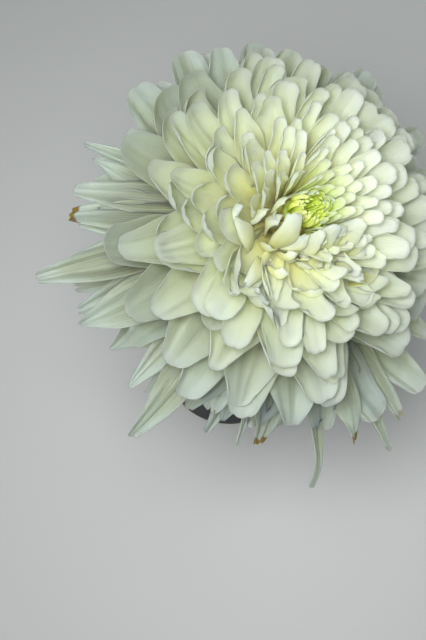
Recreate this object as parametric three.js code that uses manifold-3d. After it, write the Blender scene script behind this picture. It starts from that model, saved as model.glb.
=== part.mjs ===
// One large white double flower on its cut stem, standing in a plain stoneware vase with water.
// Millimetres, +Z up. The origin is the centre of the vase's flat foot.
import * as THREE from "three";
import { mergeVertices } from "three/addons/utils/BufferGeometryUtils.js";
import Module from "manifold-3d";

const wasm = await Module();
wasm.setup();

// Driving dimensions. clearance is the gap between neighbouring pieces.
const clearance = 0.3;
const vase = {
  height: 118,
  footRadius: 25,
  mouthRadius: 34,
  wall: 3.6,
  floor: 6,
  corner: 3,
  bevel: 1.2,
  sides: 32,
  levels: 5,
};
const water = { depth: 86, sideGap: 0.45, levels: 3 };
const stem = { radius: 3.5, footGap: 1.2, sides: 10, steps: 20 };
// Where the stem goes, from the vase's floor over the front of its mouth
const stemPath = [
  [-13, 9, vase.floor + stem.footGap],
  [-12.6, 0, 45],
  [-12, -10, 84],
  [-10.4, -22, 120],
  [-9.6, -32, 141],
];
// Heights, from the bottom of the flower's green cup, at which the stem is in line with the flower
const neck = [-12, -2, 6];
// The flower has a frame of its own. +Z there is the way it faces, and azimuth 90 is the rim's upper side.
const flower = { centre: [10, -55, 185], facing: [0.42, -0.402, 0.813], upperSide: [0, 0.848, 0.53] };
const dome = { radius: 55, height: 35, backHeight: 30, flare: 0.22, dip: 6, petalWidth: 15.2, spacing: 1.04 };
const core = { radius: 38, rim: 0, rise: 24, foot: 13.8, flat: -6, sides: 24, levels: 6 };
const receptacle = { footRadius: 8.4, topRadius: 4.4, foot: -9.3, top: 15.2, sides: 16 };
const well = { bottomRadius: 5, topRadius: 7.2, top: 34, sides: 16 };
const eye = { florets: 36, seatRadius: 4.6, seatTop: 20, rootHeight: 17, tipHeight: 25.5 };
const calyx = { topRadius: core.foot, top: core.flat - clearance, bottom: -26, sides: 16, levels: 6 };
const bractRows = [
  { count: 13, height: -12, length: 9, width: 5.2 },
  { count: 11, height: -16, length: 8, width: 5 },
  { count: 8, height: -20, length: 7, width: 4.4 },
];
const blade = { petal: 1.2, floret: 0.9, bract: 1.1 };
// Along a petal's length, as shares of it: how wide its root is, where it is full and where its tip rounds
const petalShape = { rootWidth: 0.28, fullFrom: 0.7, tapersFrom: 0.72, roundsFrom: 0.8, handle: 0.4 };
const goldenAngle = 137.50776;
const parting = { azimuth: 232, halfWidth: 95 };

// Long petals that reach past the dome, round the flower: azimuth, reach, height and width
const outerRows = [
  [140, 59, -3, 15],
  [122, 56, -4, 13.5],
  [104, 52, -10, 12],
  [88, 55, -4, 15],
  [69, 53, -3, 14],
  [50, 53, -4, 13],
  [34, 55, -5, 14],
  [18, 54, -8, 14],
  [2, 56, -6, 14],
  [346, 58, -8, 15],
  [331, 62, -9, 14],
  [156, 59, -12, 7],
  [167, 56, -19, 11],
  [177, 56, -20, 12],
  [189, 58, -18, 12],
  [195, 70, -16, 11],
  [211, 62, -16, 14.5],
  [222, 57, -9, 14.5],
  [231, 63, -14, 12],
  [239, 73, -20, 11],
  [245, 57, -20, 10],
  [258, 59, -15, 10],
  [267, 66, -22, 4.5],
  [276, 66, -26, 12],
  [275, 60, -14, 15],
  [287, 66, -16, 12],
  [288, 84, -28, 5.5],
  [295, 74, -12, 8],
  [302, 71, -9, 17],
  [305, 84, -14, 11],
  [309, 77, -11, 6],
  [316, 75, -9, 14],
];
// Shorter petals under them, in whorls round the back
const whorls = [
  { count: 12, theta: 112, reach: 54, height: -17, width: 13.5 },
  { count: 10, theta: 126, reach: 49, height: -26, width: 13.5 },
];
// Petals that stand up and lean over the eye: azimuth, tip radius, tip height, width, bow, curl, roll, drift
const closingRows = [
  [178, 17, 33, 8.5, 20, 30, 60, 5],
  [203, 9, 37, 9.5, 30, 36, 20, -2],
  [228, 5.5, 39, 10, 34, 44, -10, 3],
  [250, 6.5, 38, 9, 32, 40, 15, -3],
  [274, 5.5, 37.5, 9.5, 34, 46, -20, 2],
  [298, 8, 36.5, 9, 30, 36, 20, 3],
  [322, 11, 35, 8, 26, 30, -25, -3],
];
// Small petals that stand open in the parting behind those: azimuth, tip radius, tip height, width
const standingRows = [
  [200, 20.5, 33, 8],
  [214, 17.5, 31, 5],
  [228, 19.5, 31.5, 6],
  [240, 17, 31, 4],
  [252, 19.5, 31.5, 6.5],
  [266, 17, 32, 4.5],
  [280, 20.5, 31, 7],
];

// Repeatable draws for petal number index: chance is 0 to 1, swing is -1 to 1
function chance(index, channel) {
  const value = Math.sin(index * 12.9898 + channel * 78.233) * 43758.5453;
  return value - Math.floor(value);
}
const swing = (index, channel) => 2 * chance(index, channel) - 1;
const radians = THREE.MathUtils.degToRad;

// Evenly spaced values from one to another
function spread(from, to, gaps) {
  return Array.from({ length: gaps + 1 }, (_, k) => from + ((to - from) * k) / gaps);
}

function smooth(from, to, x) {
  const t = Math.min(1, Math.max(0, (x - from) / (to - from)));
  return t * t * (3 - 2 * t);
}

// 1 where azimuth is at centre, falling to 0 at halfWidth degrees from it
function sector(azimuth, centre, halfWidth) {
  const turn = (((azimuth - centre + 180) % 360) + 360) % 360;
  const off = Math.abs(turn - 180);
  return off >= halfWidth ? 0 : 0.5 + 0.5 * Math.cos((Math.PI * off) / halfWidth);
}

// Solids

// Six times the volume inside the faces, below zero when they point inwards
function signedVolume(position, index) {
  const corner = (k) => new THREE.Vector3().fromBufferAttribute(position, index[k]);
  let sum = 0;
  for (let k = 0; k < index.length; k += 3) sum += corner(k).dot(corner(k + 1).cross(corner(k + 2)));
  return sum;
}

function toSolid(geometry) {
  const bare = new THREE.BufferGeometry().setAttribute("position", geometry.getAttribute("position"));
  bare.setIndex(geometry.index);
  const merged = mergeVertices(bare, 1e-4);
  const index = Uint32Array.from(merged.index.array);
  if (signedVolume(merged.attributes.position, index) < 0) index.reverse();
  return new wasm.Manifold(
    new wasm.Mesh({ numProp: 3, vertProperties: merged.attributes.position.array, triVerts: index }),
  );
}

function toGeometry(solid) {
  const mesh = solid.getMesh();
  const geometry = new THREE.BufferGeometry();
  geometry.setAttribute("position", new THREE.BufferAttribute(mesh.vertProperties, 3));
  geometry.setIndex(new THREE.BufferAttribute(mesh.triVerts, 1));
  return geometry;
}

// Joins solids two by two
function joinAll(solids) {
  let list = solids;
  while (list.length > 1) {
    const pairs = [];
    for (let k = 0; k < list.length; k += 2) {
      pairs.push(k + 1 < list.length ? list[k].add(list[k + 1]) : list[k]);
    }
    list = pairs;
  }
  return list[0];
}

// The largest body of a solid, without the loose scraps that a cut leaves
function mainBody(solid) {
  return solid.decompose().reduce((best, piece) => (piece.volume() > best.volume() ? piece : best));
}

// A solid turned about +Z, from points of radius and height
function turned(points, sides) {
  const profile = points.map(([radius, height]) => new THREE.Vector2(radius, height));
  return toSolid(new THREE.LatheGeometry(profile, sides).rotateX(Math.PI / 2));
}

// Petals

// Where a petal's tip lies on the dome. theta is its polar angle from the flower's axis, in degrees.
function tipPoint(theta) {
  const flare = 1 + dome.flare * smooth(88, 125, theta);
  const height = theta < 90 ? dome.height : dome.backHeight;
  const dip = dome.dip * (1 - smooth(0, 16, theta));
  return [dome.radius * Math.sin(radians(theta)) * flare, height * Math.cos(radians(theta)) - dip];
}

function rootPoint(theta) {
  const share = Math.min(1, theta / 130);
  return [5 + 6 * share, 21 - 20 * share ** 1.1];
}

const widthAt = (theta) => dome.petalWidth * (Math.min(theta, 100) / 90) ** 0.6;

// root and tip are radius and height. bow bends a petal outwards at its root and curl inwards at its tip,
// in degrees. cup rolls its edges up, roll turns it about its length and drift moves its tip sideways.
function makePetal(index, theta, azimuth, width, root, tip, own = {}) {
  const outer = smooth(92, 112, theta);
  return {
    azimuth,
    width,
    root,
    tip,
    bow: (1 - outer) * (3 + 17 * smooth(15, 60, theta)) - outer * 20 + 6 * swing(index, 5),
    curl:
      (1 - outer) * (-10 + 30 * smooth(10, 75, theta) + 12 * swing(index, 6)) +
      outer * (-20 + 16 * swing(index, 7)),
    cup: 0.5 + 0.45 * (1 - smooth(15, 80, theta)) + 0.15 * swing(index, 11),
    roll: 14 * swing(index, 15) * (1 + outer),
    drift: width * 0.3 * swing(index, 16),
    taper: 0.2 + 0.15 * swing(index, 8) + 0.12 * outer,
    ...own,
  };
}

// The dome from its rim to the eye, each petal a golden angle on from the last. The parting is left open.
function domePetals() {
  const petals = [];
  for (let theta = 90, index = 0; theta > 9; index++) {
    const azimuth = (index * goldenAngle) % 360;
    const larger = 0.3 * sector(azimuth, 250, 120) * smooth(14, 30, theta) * (1 - smooth(70, 95, theta));
    const width = widthAt(theta) * (1 + 0.14 * swing(index, 1)) * (1 + larger);
    const slope = Math.hypot(dome.radius * Math.cos(radians(theta)), dome.height * Math.sin(radians(theta)));
    const areaPerDegree = 2 * Math.PI * Math.max(3, tipPoint(theta)[0]) * radians(1) * slope;
    const part = smooth(0.12, 0.5, sector(azimuth, parting.azimuth, parting.halfWidth));
    const open = part > 0 && theta >= 30 && theta < 55;
    const own = open ? { curl: 20 - 45 * part, bow: 18 - 14 * part, cup: 0.9 + 0.2 * swing(index, 11) } : {};
    const mine = theta + 3.5 * swing(index, 2) * smooth(5, 40, theta) + (open ? 5 * part : 0);
    if (theta >= 30 || part < 0.5) {
      const turnedTo = azimuth + 5 * swing(index, 3);
      petals.push(makePetal(index, mine, turnedTo, width, rootPoint(mine), tipPoint(mine), own));
    }
    theta -= (dome.spacing * widthAt(theta) ** 2) / areaPerDegree;
  }
  return petals;
}

function outerPetals() {
  return outerRows.map(([azimuth, reach, height, width], k) => {
    const theta = height > -10 ? 100 : 108;
    return makePetal(400 + k, theta, azimuth, width, rootPoint(theta), [reach, height]);
  });
}

function whorlPetals({ count, theta, reach, height, width }, whorl) {
  return Array.from({ length: count }, (_, k) => {
    const index = 500 + 40 * whorl + k;
    const azimuth = (360 * (k + 0.5 * whorl)) / count + 7 * swing(index, 1);
    const low = sector(azimuth, 255, 120);
    const high = sector(azimuth, 80, 110);
    const tip = [
      reach * (1 + 0.1 * low - 0.08 * high) + 4 * swing(index, 2),
      height - 6 * low + 4 * swing(index, 3),
    ];
    return makePetal(index, theta, azimuth, width + 2.5 * swing(index, 4), rootPoint(theta), tip);
  });
}

function partingPetals() {
  const closing = closingRows.map(([azimuth, radius, height, width, bow, curl, roll, drift], k) =>
    makePetal(700 + k, 14, azimuth, width, [9.5, 16], [radius, height], {
      bow,
      curl,
      roll,
      drift,
      cup: 0.55,
      taper: 0.35,
    }),
  );
  const standing = standingRows.map(([azimuth, radius, height, width], k) =>
    makePetal(720 + k, 26, azimuth, width, [10.5, 14], [radius, height], {
      bow: -6,
      curl: -16 + 12 * swing(720 + k, 1),
      roll: 25 * swing(720 + k, 2),
      cup: 1.1,
    }),
  );
  return [...closing, ...standing];
}

// The green florets of the eye, tubular and not yet open
function eyeFlorets() {
  return Array.from({ length: eye.florets }, (_, k) => {
    const share = Math.sqrt((k + 0.5) / eye.florets);
    const root = [0.3 + 2.4 * share, eye.rootHeight];
    const tip = [1.2 + 4.4 * share, eye.tipHeight + 4.5 * share + swing(1000 + k, 3)];
    const azimuth = (k * goldenAngle) % 360;
    const own = { bow: 15, curl: 30, cup: 1.3, drift: 0 };
    return makePetal(1000 + k, 1, azimuth, 1.3 + 0.9 * share, root, tip, own);
  });
}

// A petal's middle line as a cubic curve in radius and height
function middleLine({ root, tip, bow, curl }) {
  const from = new THREE.Vector2(...root);
  const to = new THREE.Vector2(...tip);
  const pull = petalShape.handle * from.distanceTo(to);
  const heading = Math.atan2(to.x - from.x, to.y - from.y);
  const start = heading + radians(bow);
  const end = heading - radians(curl);
  return new THREE.CubicBezierCurve(
    from,
    new THREE.Vector2(from.x + pull * Math.sin(start), from.y + pull * Math.cos(start)),
    new THREE.Vector2(to.x - pull * Math.sin(end), to.y - pull * Math.cos(end)),
    to,
  );
}

// A closed cupped blade. Each ring is a bent diamond: an edge, the inner face's ridge line, the other
// edge and the outer face's ridge line. The last station is the tip.
function bladeSolid(petal, stations, thickness) {
  const { rootWidth, fullFrom, tapersFrom, roundsFrom } = petalShape;
  const line = middleLine(petal);
  const out = new THREE.Vector3(Math.cos(radians(petal.azimuth)), Math.sin(radians(petal.azimuth)), 0);
  const side = new THREE.Vector3(-out.y, out.x, 0);
  const at = (t, x, face) => {
    const place = line.getPoint(t);
    const along = line.getTangent(t);
    const full = rootWidth + (1 - rootWidth) * smooth(0, fullFrom, t);
    const grown = full - petal.taper * smooth(tapersFrom, 1, t) ** 1.6;
    const rounded = Math.sqrt(1 - Math.max(0, (t - roundsFrom) / (1.01 - roundsFrom)) ** 2);
    const half = (petal.width / 2) * grown * rounded;
    const cup = petal.cup * (1.5 - 0.5 * smooth(0, 0.5, t));
    const wide = (half * Math.sin(cup * x)) / cup;
    const deep = (half * (1 - Math.cos(cup * x))) / cup + (face * thickness) / 2;
    const roll = radians(petal.roll) * t;
    const across = wide * Math.cos(roll) - deep * Math.sin(roll) + petal.drift * t ** 1.5;
    const inward = wide * Math.sin(roll) + deep * Math.cos(roll);
    return out
      .clone()
      .multiplyScalar(place.x - along.y * inward)
      .addScaledVector(side, across)
      .add(new THREE.Vector3(0, 0, place.y + along.x * inward));
  };
  const rings = stations.slice(0, -1).map((t) => [at(t, -1, 0), at(t, 0, 1), at(t, 1, 0), at(t, 0, -1)]);
  const points = [...rings.flat(), at(stations.at(-1), 0, 0)];
  const tip = points.length - 1;
  const index = [0, 2, 1, 0, 3, 2];
  for (let k = 0; k < 4; k++) {
    const next = (k + 1) % 4;
    for (let r = 0; r + 1 < rings.length; r++) {
      const [a, b, c, d] = [4 * r + k, 4 * r + next, 4 * r + 4 + next, 4 * r + 4 + k];
      index.push(a, b, c, a, c, d);
    }
    index.push(tip - 4 + k, tip - 4 + next, tip);
  }
  return toSolid(new THREE.BufferGeometry().setFromPoints(points).setIndex(index));
}

// The flower's pieces, in its own frame

const receptacleProfile = (gap) => [
  [0, receptacle.foot],
  [receptacle.footRadius + gap, receptacle.foot],
  [receptacle.footRadius + gap, core.flat],
  [receptacle.topRadius + gap, receptacle.top + gap],
  [0, receptacle.top + gap],
];

// The domed heart of the flower, which the petals grow from
function coreSolid() {
  const round = spread(Math.PI / 2, 0, core.levels).map((angle) => [
    core.radius * Math.sin(angle),
    core.rim + core.rise * Math.cos(angle),
  ]);
  return turned([[0, core.flat], [core.foot, core.flat], ...round], core.sides);
}

function bloomSolid() {
  const long = [0, 0.45, 0.8, 0.94, 1];
  const short = [0, 0.55, 0.88, 1];
  const under = [...outerPetals(), ...whorls.flatMap(whorlPetals)];
  const upper = [...domePetals(), ...partingPetals()];
  const blades = [
    ...under.map((petal) => bladeSolid(petal, long, blade.petal)),
    ...upper.map((petal) => bladeSolid(petal, short, blade.petal)),
  ];
  const hole = turned(receptacleProfile(clearance), receptacle.sides);
  const eyeWell = turned(
    [
      [0, receptacle.top],
      [well.bottomRadius, receptacle.top],
      [well.topRadius, well.top],
      [0, well.top],
    ],
    well.sides,
  );
  return mainBody(joinAll([coreSolid(), ...blades]).subtract(hole).subtract(eyeWell));
}

function eyeSolid() {
  const seat = turned(
    [
      [0, receptacle.top + 2 * clearance],
      [eye.seatRadius, receptacle.top + 2 * clearance],
      [eye.seatRadius, eye.seatTop - 2],
      [eye.seatRadius / 2, eye.seatTop],
      [0, eye.seatTop + 1],
    ],
    well.sides,
  );
  const florets = eyeFlorets().map((floret) => bladeSolid(floret, [0, 0.7, 1], blade.floret));
  return mainBody(joinAll([seat, ...florets]));
}

// The green cup under the flower, with its small overlapping leaves
function calyxRadius(height) {
  const share = (height - calyx.bottom) / (calyx.top - calyx.bottom);
  return stem.radius + (calyx.topRadius - stem.radius) * Math.sin((Math.PI / 2) * share) ** 0.8;
}

function calyxSolid() {
  const side = spread(calyx.bottom, calyx.top, calyx.levels).map((z) => [calyxRadius(z), z]);
  const cup = turned([[0, calyx.bottom], ...side, [0, calyx.top]], calyx.sides);
  const bracts = bractRows.flatMap(({ count, height, length, width }, row) =>
    Array.from({ length: count }, (_, k) => {
      const index = 900 + 20 * row + k;
      const radius = calyxRadius(height);
      const azimuth = (360 * (k + 0.5 * row)) / count + 4 * swing(index, 1);
      const tip = [radius + 0.6 * length, height + 0.72 * length];
      const own = { bow: 16, curl: -14, cup: 0.5, roll: 0, drift: 0.6 * swing(index, 2), taper: 0.5 };
      return makePetal(index, 90, azimuth, width, [radius - 2, height], tip, own);
    }),
  );
  const leaves = bracts.map((bract) => bladeSolid(bract, [0, 0.55, 1], blade.bract));
  return joinAll([cup, turned(receptacleProfile(0), receptacle.sides), ...leaves]);
}

// The vase's own outline
function vaseRadius(height) {
  const rise = Math.sin(((Math.PI / 2) * height) / vase.height);
  return vase.footRadius + (vase.mouthRadius - vase.footRadius) * rise;
}

function vaseSolid() {
  const lip = vase.wall / 2;
  const lipHeight = vase.height - lip;
  const outside = spread(vase.bevel, lipHeight, vase.levels).map((z) => [vaseRadius(z), z]);
  const inside = spread(lipHeight, vase.floor + vase.corner, vase.levels).map((z) => [
    vaseRadius(z) - vase.wall,
    z,
  ]);
  const middle = vaseRadius(lipHeight) - lip;
  const round = spread(0, Math.PI, 6)
    .slice(1, -1)
    .map((angle) => [middle + lip * Math.cos(angle), lipHeight + lip * Math.sin(angle)]);
  const foot = [
    [0, 0],
    [vase.footRadius - vase.bevel, 0],
  ];
  const floor = [
    [vaseRadius(vase.floor) - vase.wall - vase.corner, vase.floor],
    [0, vase.floor],
  ];
  return turned([...foot, ...outside, ...round, ...inside, ...floor], vase.sides);
}

function waterSolid(hole) {
  const bottom = vase.floor + clearance;
  const surface = bottom + water.depth;
  const inset = vase.wall + water.sideGap;
  const side = spread(bottom + vase.corner, surface, water.levels).map((z) => [vaseRadius(z) - inset, z]);
  const start = [
    [0, bottom],
    [vaseRadius(bottom) - inset - vase.corner, bottom],
  ];
  return turned([...start, ...side, [0, surface]], vase.sides).subtract(hole);
}

// Placing and assembly

const facing = new THREE.Vector3(...flower.facing).normalize();
const upperSide = new THREE.Vector3(...flower.upperSide);
upperSide.addScaledVector(facing, -upperSide.dot(facing)).normalize();
const flowerFrame = new THREE.Matrix4()
  .makeBasis(upperSide.clone().cross(facing), upperSide, facing)
  .setPosition(...flower.centre);

// A round rod along the stem's path, which ends in the calyx in line with the flower
function rod(radius) {
  const start = stemPath.map((point) => new THREE.Vector3(...point));
  const end = neck.map((z) => new THREE.Vector3(0, 0, calyx.bottom + z).applyMatrix4(flowerFrame));
  const path = new THREE.CatmullRomCurve3([...start, ...end]);
  const section = new THREE.Shape().absarc(0, 0, radius, 0, 2 * Math.PI);
  return toSolid(
    new THREE.ExtrudeGeometry(section, {
      extrudePath: path,
      steps: stem.steps,
      curveSegments: stem.sides / 2,
    }),
  );
}

const matt = (color, roughness, more = {}) =>
  new THREE.MeshStandardMaterial({ color, roughness, metalness: 0, ...more });

function named(name, solid, material) {
  const mesh = new THREE.Mesh(toGeometry(solid), material);
  mesh.name = name;
  return mesh;
}

const head = new THREE.Group();
head.add(named("bloom", bloomSolid(), matt(0xe9edde, 0.55)));
head.add(named("green_eye", eyeSolid(), matt(0xb9d25a, 0.5)));
head.applyMatrix4(flowerFrame);

const clearWater = matt(0xbfd3d2, 0.05, { transparent: true, opacity: 0.4 });
const stemWithCup = rod(stem.radius).add(calyxSolid().transform(flowerFrame.elements));
const group = new THREE.Group();
group.add(named("vase", vaseSolid(), matt(0x34363a, 0.75)));
group.add(named("water", waterSolid(rod(stem.radius + clearance)), clearWater));
group.add(named("stem", stemWithCup, matt(0x6f8f45, 0.6)));
group.add(head);

export default group;
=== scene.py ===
from math import atan2, cos, degrees, floor, hypot, pi, radians, sin, sqrt

import bpy
import numpy as np
from mathutils import Matrix, Vector
from numpy.linalg import norm


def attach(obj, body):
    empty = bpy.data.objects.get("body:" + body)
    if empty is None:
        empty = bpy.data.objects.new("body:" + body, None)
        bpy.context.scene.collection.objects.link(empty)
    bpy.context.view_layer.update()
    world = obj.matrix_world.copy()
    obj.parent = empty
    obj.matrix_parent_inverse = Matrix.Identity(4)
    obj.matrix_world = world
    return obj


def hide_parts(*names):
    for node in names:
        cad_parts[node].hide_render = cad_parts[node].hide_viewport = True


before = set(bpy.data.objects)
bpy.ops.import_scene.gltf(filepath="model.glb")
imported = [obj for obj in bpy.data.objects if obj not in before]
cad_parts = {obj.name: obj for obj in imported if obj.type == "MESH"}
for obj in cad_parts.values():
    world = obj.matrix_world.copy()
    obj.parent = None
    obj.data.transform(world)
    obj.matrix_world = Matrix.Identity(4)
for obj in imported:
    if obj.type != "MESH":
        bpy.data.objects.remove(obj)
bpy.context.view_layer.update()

mm = 0.001
goldenAngle = 137.50776


# Draws that come out the same each run, for petal number index: chance is 0 to 1, swing is -1 to 1
def chance(index, channel):
    value = sin(index * 12.9898 + channel * 78.233) * 43758.5453
    return value - floor(value)


def swing(index, channel):
    return 2 * chance(index, channel) - 1


def smooth(start, end, value):
    share = np.clip((value - start) / (end - start), 0, 1)
    return share * share * (3 - 2 * share)


# Materials

# A colour as Blender mixes it, from red, green and blue between 0 and 255
def tint(*levels):
    shares = [level / 255 for level in levels]
    return tuple(s / 12.92 if s <= 0.04045 else ((s + 0.055) / 1.055) ** 2.4 for s in shares) + (1.0,)


# A socket, so that masks are written as plain sums
class Wire:
    def __init__(self, surface, socket):
        self.surface = surface
        self.socket = socket

    def math(self, operation, first, second):
        return self.surface.node("ShaderNodeMath", {"operation": operation}, {0: first, 1: second})

    def __add__(self, other):
        return self.math("ADD", self, other)

    __radd__ = __add__

    def __sub__(self, other):
        return self.math("SUBTRACT", self, other)

    def __rsub__(self, other):
        return self.math("SUBTRACT", other, self)

    def __mul__(self, other):
        return self.math("MULTIPLY", self, other)

    __rmul__ = __mul__

    def wave(self):
        return self.surface.node("ShaderNodeMath", {"operation": "SINE"}, {0: self})

    # 0 below start, 1 above end, eased between them
    def between(self, start, end):
        settings = {"interpolation_type": "SMOOTHSTEP"}
        return self.surface.node("ShaderNodeMapRange", settings, {0: self, 1: start, 2: end})


class Surface:
    def __init__(self, name, constants):
        self.material = bpy.data.materials.new(name)
        self.material.use_nodes = True
        self.tree = self.material.node_tree
        self.shader = self.tree.nodes["Principled BSDF"]
        for socket, value in constants.items():
            self.shader.inputs[socket].default_value = value

    def node(self, kind, settings, sockets, output=0):
        made = self.tree.nodes.new(kind)
        for key, value in settings.items():
            if key == "stops":
                marks = made.color_ramp.elements
                while len(marks) < len(value):
                    marks.new(0.5)
                for mark, (position, *levels) in zip(marks, value):
                    mark.position = position
                    mark.color = tint(*levels)
            else:
                setattr(made, key, value)
        for key, value in sockets.items():
            if isinstance(value, Wire):
                self.tree.links.new(value.socket, made.inputs[key])
            else:
                made.inputs[key].default_value = value
        return Wire(self, made.outputs[output])

    def trait(self, name):
        return self.node("ShaderNodeAttribute", {"attribute_name": name}, {}, "Fac")

    def place(self):
        return self.node("ShaderNodeTexCoord", {}, {}, "Object")

    def noise(self, scale, detail=2.0, vector=None):
        sockets = {"Vector": vector or self.place(), "Scale": scale, "Detail": detail}
        return self.node("ShaderNodeTexNoise", {}, sockets, "Fac")

    # Each stop is its place and its red, green and blue
    def ramp(self, value, stops):
        return self.node("ShaderNodeValToRGB", {"stops": stops}, {0: value})

    def mix(self, share, first, second, blend="MIX"):
        settings = {"data_type": "RGBA", "blend_type": blend}
        return self.node("ShaderNodeMix", settings, {0: share, 6: first, 7: second}, 2)

    # colour with a layer over it where mask says, a layer being its share and its tint
    def cover(self, colour, mask, layer):
        return self.mix(mask * layer[0], colour, layer[1])

    def feed(self, socket, wire):
        self.tree.links.new(wire.socket, self.shader.inputs[socket])

    def finished(self, roughness, relief, depth, strength):
        sockets = {"Strength": strength, "Distance": depth, "Height": relief}
        self.feed("Roughness", roughness)
        self.feed("Normal", self.node("ShaderNodeBump", {}, sockets))
        return self.material


petalLook = {
    "tissue": {
        "Subsurface Weight": 0.85,
        "Subsurface Radius": (1.0, 0.92, 0.62),
        "Subsurface Scale": 2.6 * mm,
        "Specular IOR Level": 0.32,
        "Sheen Weight": 0.12,
        "Sheen Roughness": 0.5,
    },
    # Colours from a petal's root to its tip: darker and yellower at the root, partly the petal's own yellow
    # base and partly painted shade where it dives under its neighbours
    "face": [
        (0.0, 140, 126, 52), (0.15, 196, 184, 98), (0.35, 222, 220, 138),
        (0.60, 236, 240, 180), (0.80, 238, 245, 204), (1.0, 240, 247, 218),
    ],
    "farFace": [
        (0.0, 150, 134, 56), (0.35, 202, 204, 142), (0.62, 210, 217, 170),
        (0.82, 213, 223, 189), (1.0, 211, 221, 196),
    ],
    # The outer petals are darker and greyer: partly their own greyer green, partly painted shade for the
    # light falling off towards the rim
    "outerFaceAndShade": [
        (0.0, 140, 152, 104), (0.3, 124, 130, 96), (0.55, 116, 121, 99),
        (0.75, 140, 150, 134), (0.9, 158, 172, 162), (1.0, 148, 162, 155),
    ],
    "back": [(0.0, 170, 172, 96), (0.45, 204, 207, 156), (1.0, 197, 206, 198)],
    "backShare": 0.75,
    "green": (0.85, tint(196, 228, 96)),
    # Rims are tinted darker grey-green: partly the thin edge's own tint, partly painted shade along the
    # rolled edges
    "rim": (0.6, tint(166, 175, 152)),
    # Painted shade in the creases: darker grey-green along the folds
    "fold": (0.6, tint(128, 134, 112)),
    "vein": tint(186, 198, 166),
    "dull": tint(200, 205, 190),
    "brown": tint(92, 58, 22),
    "veinsPerMillimetre": 1.15, "cloudScale": 260.0, "deadScale": 420.0, "grainScale": 1400.0,
    "bump": 0.08 * mm,
}


def petalSurface():
    look = petalLook
    s = Surface("petalTissue", look["tissue"])
    along = s.trait("petalAlong")
    across = s.trait("petalAcross")
    tone = s.trait("petalTone")
    theta = s.trait("petalTheta")
    cloud = s.noise(look["cloudScale"], 3.0)
    share = along + 0.10 * (cloud - 0.5)
    # Darker towards the root: partly the petals' yellow base, partly painted shade under their neighbours
    colour = s.mix(theta.between(20.0, 55.0), s.ramp(share, look["face"]), s.ramp(share, look["farFace"]))
    # Painted shade: petals out towards the rim take the darker, greyer ramp
    colour = s.mix(theta.between(44.0, 96.0), colour, s.ramp(share, look["outerFaceAndShade"]))
    nearEye = (1 - theta.between(5.0, 22.0)) * (1 - 0.75 * along.between(0.55, 1.0))
    colour = s.cover(colour, nearEye, look["green"])
    backward = s.trait("petalSide").between(0.45, 0.95)
    colour = s.mix(backward * look["backShare"], colour, s.ramp(along, look["back"]))
    # Partly painted shade: the rims are darkened grey-green
    colour = s.cover(colour, s.trait("petalRim"), look["rim"])
    # Painted shade: the creases are darkened grey-green
    colour = s.cover(colour, s.trait("petalFold"), look["fold"])
    stretched = s.node("ShaderNodeCombineXYZ", {}, {0: across * 0.9, 1: along * 2.0, 2: tone * 40.0})
    wander = s.noise(1.0, 2.0, stretched)
    veins = (across * (2 * pi * look["veinsPerMillimetre"]) + wander * 7.0).wave()
    lines = veins.between(0.2, 1.0) * (0.25 + 0.75 * wander.between(0.35, 0.7))
    colour = s.mix(lines * (0.20 + 0.12 * theta.between(60.0, 110.0)), colour, look["vein"])
    colour = s.mix(tone * 0.10, colour, look["dull"], "MULTIPLY")
    dead = (s.trait("petalBrown") + 0.5 * (s.noise(look["deadScale"], 3.0) - 0.5)).between(0.35, 0.75)
    colour = s.mix(dead, colour, look["brown"])
    s.feed("Base Color", colour)
    relief = 0.3 * veins * wander.between(0.3, 0.7) + 1.2 * s.noise(look["grainScale"], 2.0)
    return s.finished(0.50 + 0.12 * cloud + 0.05 * lines, relief, look["bump"], 0.5)


eyeLook = {
    "tissue": {
        "Subsurface Weight": 0.5,
        "Subsurface Radius": (0.8, 1.0, 0.4),
        "Subsurface Scale": 3.0 * mm,
        "Specular IOR Level": 0.35,
    },
    "face": [
        (0.0, 186, 214, 60), (0.5, 216, 240, 84), (0.85, 230, 248, 118),
        (1.0, 236, 250, 150),
    ],
    "cloudScale": 900.0, "grainScale": 1800.0, "bump": 0.04 * mm,
}


def eyeSurface():
    look = eyeLook
    s = Surface("eyeTissue", look["tissue"])
    share = s.trait("petalAlong") + 0.25 * (s.trait("petalTone") - 0.5)
    s.feed("Base Color", s.ramp(share, look["face"]))
    roughness = 0.42 + 0.2 * s.noise(look["cloudScale"])
    return s.finished(roughness, s.noise(look["grainScale"]), look["bump"], 0.5)


greenLook = {
    "skin": {
        "Subsurface Weight": 0.15,
        "Subsurface Radius": (0.4, 1.0, 0.2),
        "Subsurface Scale": 1.2 * mm,
        "Specular IOR Level": 0.4,
    },
    "face": [(0.25, 66, 92, 40), (0.55, 96, 124, 58), (0.8, 126, 146, 80)],
    "streak": (0.35, tint(146, 164, 98)),
    "pale": (1.0, tint(176, 190, 132)),
    "blotchScale": 120.0, "grainScale": 900.0, "bump": 0.12 * mm,
}


def greenSurface():
    look = greenLook
    s = Surface("stemSkin", look["skin"])
    blotch = s.noise(look["blotchScale"], 3.0)
    streaks = (s.trait("skinAround") + blotch * 3.0).wave()
    colour = s.cover(s.ramp(blotch, look["face"]), streaks.between(0.1, 1.0), look["streak"])
    colour = s.cover(colour, s.trait("skinPale"), look["pale"])
    s.feed("Base Color", colour)
    relief = 0.6 * streaks + s.noise(look["grainScale"])
    return s.finished(0.46 + 0.2 * blotch, relief, look["bump"], 0.6)


stonewareLook = {
    "clay": [(0.3, 46, 47, 50), (0.55, 62, 63, 66), (0.75, 78, 77, 76)],
    "speck": (0.5, tint(150, 142, 128)),
    "worn": (1.0, tint(124, 108, 90)),
    "gloss": 0.42, "cloudScale": 34.0, "bandScale": 60.0, "bandSquash": (1.0, 1.0, 9.0),
    "grainScale": 1500.0, "speckScale": 900.0, "patchScale": 420.0, "bump": 0.16 * mm,
}


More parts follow.
